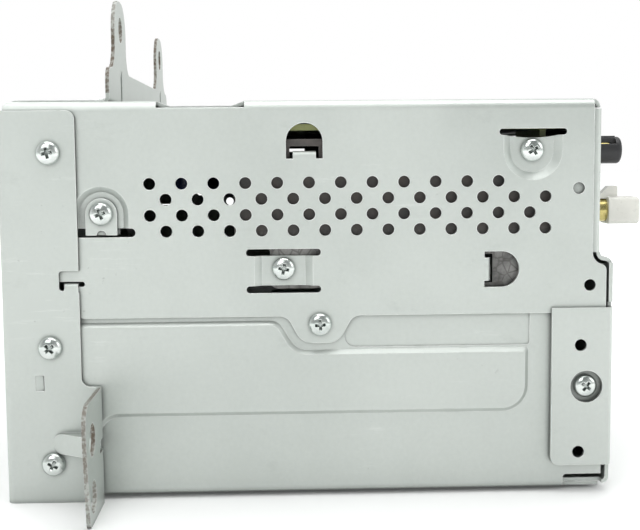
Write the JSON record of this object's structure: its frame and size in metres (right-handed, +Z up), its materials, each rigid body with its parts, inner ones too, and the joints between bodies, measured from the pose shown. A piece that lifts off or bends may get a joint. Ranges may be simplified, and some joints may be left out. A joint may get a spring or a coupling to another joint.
{
  "type": "car CD player",
  "caption": "Double-height metal car CD player with a disc slot, vented folded sheet case, mounting ears, rear sockets and a sprung slot-loading deck inside.",
  "frame": {"origin": "middle of the footprint of the whole unit, on the surface it stands on", "axes": "+X from the front plate towards the rear sockets, +Y across the unit to the side away from the pictured one, +Z up"},
  "size_m": [0.169, 0.2294, 0.1308],
  "materials": {
    "zinc_sheet": "dull zinc-plated sheet",
    "screw_zinc": "bright zinc-plated",
    "tin_plate": "smooth tin-plated sheet",
    "bright_steel": "ground and polished",
    "spring_steel": "drawn wire",
    "sink_aluminium": "brownish-grey chromated",
    "die_casting": "die-cast",
    "brass": "turned",
    "copper_winding": "enamelled winding",
    "contact_plate": "thinly gilded contacts",
    "black_plastic": "moulded",
    "white_plastic": "moulded",
    "gear_plastic": "unfilled moulding",
    "grey_plastic": "moulded",
    "chip_plastic": "moulded",
    "board_green": "lacquered board",
    "sleeve_blue": "shrunk sleeve",
    "ribbon_white": "thin film",
    "roller_rubber": "ground",
    "damper_rubber": "moulded",
    "felt": "short pile",
    "lens_glass": "coated"
  },
  "bodies": {
    "chassis": {"front_panel": "zinc_sheet", "upper_chassis": "zinc_sheet", "lower_case": "zinc_sheet", "rear_panel": "zinc_sheet", "slot_guide": "black_plastic", "slot_felts": "felt", "case_screws": "screw_zinc", "board_brackets": "zinc_sheet", "heat_sinks": "sink_aluminium", "power_chips": "chip_plastic", "main_board": "board_green", "capacitors": "sleeve_blue", "power_choke": "copper_winding", "processors": "chip_plastic", "front_connector": "black_plastic", "front_contacts": "contact_plate", "tuner_board": "board_green", "tuner_can": "tin_plate", "antenna_socket": "black_plastic", "antenna_contact": "brass", "coax_socket": "white_plastic", "coax_shell": "brass", "coax_contact": "brass", "harness_socket": "black_plastic", "harness_pins": "tin_plate", "cable_socket": "white_plastic", "ribbon_cable": "ribbon_white", "dampers": "damper_rubber", "float_springs": "spring_steel"},
    "deck": {"deck_frame": "zinc_sheet", "deck_cover": "zinc_sheet", "deck_socket": "white_plastic", "deck_screws": "screw_zinc", "deck_board": "board_green", "deck_chips": "chip_plastic", "disc_guides": "black_plastic", "gear_clip": "spring_steel", "loading_motor": "tin_plate", "clamp_shaft": "bright_steel", "clamp_springs": "spring_steel", "traverse_plate": "tin_plate", "guide_rods": "bright_steel", "spindle_motor": "tin_plate", "feed_motor": "tin_plate"},
    "slider": {"shift_slider": "tin_plate"},
    "roller_carrier": {"roller_arm": "tin_plate"},
    "roller": {"roller_shaft": "bright_steel", "rubber_rollers": "roller_rubber", "roller_gear": "gear_plastic"},
    "idler": {"idler_gear": "gear_plastic"},
    "compound": {"compound_gear": "gear_plastic"},
    "pinion": {"motor_pinion": "brass"},
    "clamp": {"clamp_arm": "tin_plate"},
    "disc_clamper": {"clamper": "black_plastic"},
    "spindle": {"turntable": "black_plastic"},
    "pickup": {"pickup_sled": "die_casting"},
    "lens": {"objective_lens": "lens_glass"},
    "feed_screw": {"lead_screw": "bright_steel"},
    "left_lever": {"disc_lever_left": "grey_plastic"},
    "right_lever": {"disc_lever_right": "grey_plastic"}
  },
  "joints": [
    {"name": "deck_float", "type": "slide", "parent": "chassis", "child": "deck", "axis": [0, 0, 1], "range_m": [-0.001, 0.001], "stiffness_N_per_m": 6000, "springref_m": 0.00105, "deforming": ["float_springs", "ribbon_cable"]},
    {"name": "slider_shift", "type": "slide", "parent": "deck", "child": "slider", "axis": [1, 0, 0], "range_m": [0, 0.01]},
    {"name": "roller_arm_swing", "type": "hinge", "parent": "deck", "child": "roller_carrier", "pos_m": [-0.0282, 0, 0.018], "axis": [0, -1, 0], "range_deg": [0, 5]},
    {"name": "clamp_arm_swing", "type": "hinge", "parent": "deck", "child": "clamp", "pos_m": [0.0558, 0, 0.0355], "axis": [0, -1, 0], "range_deg": [0, 3.79]},
    {"name": "pinion_turn", "type": "hinge", "parent": "deck", "child": "pinion", "pos_m": [-0.04636, 0.08, 0.0223], "axis": [0, 1, 0], "continuous": true},
    {"name": "compound_turn", "type": "hinge", "parent": "deck", "child": "compound", "pos_m": [-0.0549, 0.08, 0.03], "axis": [0, 1, 0], "continuous": true},
    {"name": "idler_turn", "type": "hinge", "parent": "deck", "child": "idler", "pos_m": [-0.06195, 0.08, 0.03256], "axis": [0, 1, 0], "continuous": true},
    {"name": "roller_turn", "type": "hinge", "parent": "roller_carrier", "child": "roller", "pos_m": [-0.0662, 0, 0.0252], "axis": [0, 1, 0], "continuous": true},
    {"name": "clamper_turn", "type": "hinge", "parent": "clamp", "child": "disc_clamper", "pos_m": [-0.0002, 0, 0.035], "axis": [0, 0, 1], "continuous": true},
    {"name": "spindle_turn", "type": "hinge", "parent": "deck", "child": "spindle", "pos_m": [-0.0002, 0, 0.026], "axis": [0, 0, 1], "continuous": true},
    {"name": "pickup_slide", "type": "slide", "parent": "deck", "child": "pickup", "axis": [0, -1, 0], "range_m": [0, 0.034]},
    {"name": "feed_screw_turn", "type": "hinge", "parent": "deck", "child": "feed_screw", "pos_m": [0.0308, -0.04, 0.0213], "axis": [0, 1, 0], "range_deg": [0, 4081]},
    {"name": "lens_focus", "type": "slide", "parent": "pickup", "child": "lens", "axis": [0, 0, 1], "range_m": [-0.0005, 0.0005], "stiffness_N_per_m": 60, "springref_m": 0.00012},
    {"name": "left_lever_swing", "type": "hinge", "parent": "deck", "child": "left_lever", "pos_m": [-0.0382, -0.07, 0.036], "axis": [0, 0, 1], "range_deg": [0, 30], "stiffness_Nm_per_rad": 0.004, "springref_deg": -5.73},
    {"name": "right_lever_swing", "type": "hinge", "parent": "deck", "child": "right_lever", "pos_m": [-0.0382, 0.07, 0.036], "axis": [0, 0, -1], "range_deg": [0, 30]}
  ],
  "couplings": [
    {"joint": "roller_arm_swing", "follows": "slider_shift", "rad_per_m": 8.72},
    {"joint": "clamp_arm_swing", "follows": "slider_shift", "rad_per_m": 6.61},
    {"joint": "compound_turn", "follows": "pinion_turn", "ratio": -0.27778},
    {"joint": "idler_turn", "follows": "pinion_turn", "ratio": 0.18519},
    {"joint": "roller_turn", "follows": "pinion_turn", "ratio": -0.20833},
    {"joint": "feed_screw_turn", "follows": "pickup_slide", "rad_per_m": 2094.4},
    {"joint": "right_lever_swing", "follows": "left_lever_swing", "ratio": 1}
  ]
}
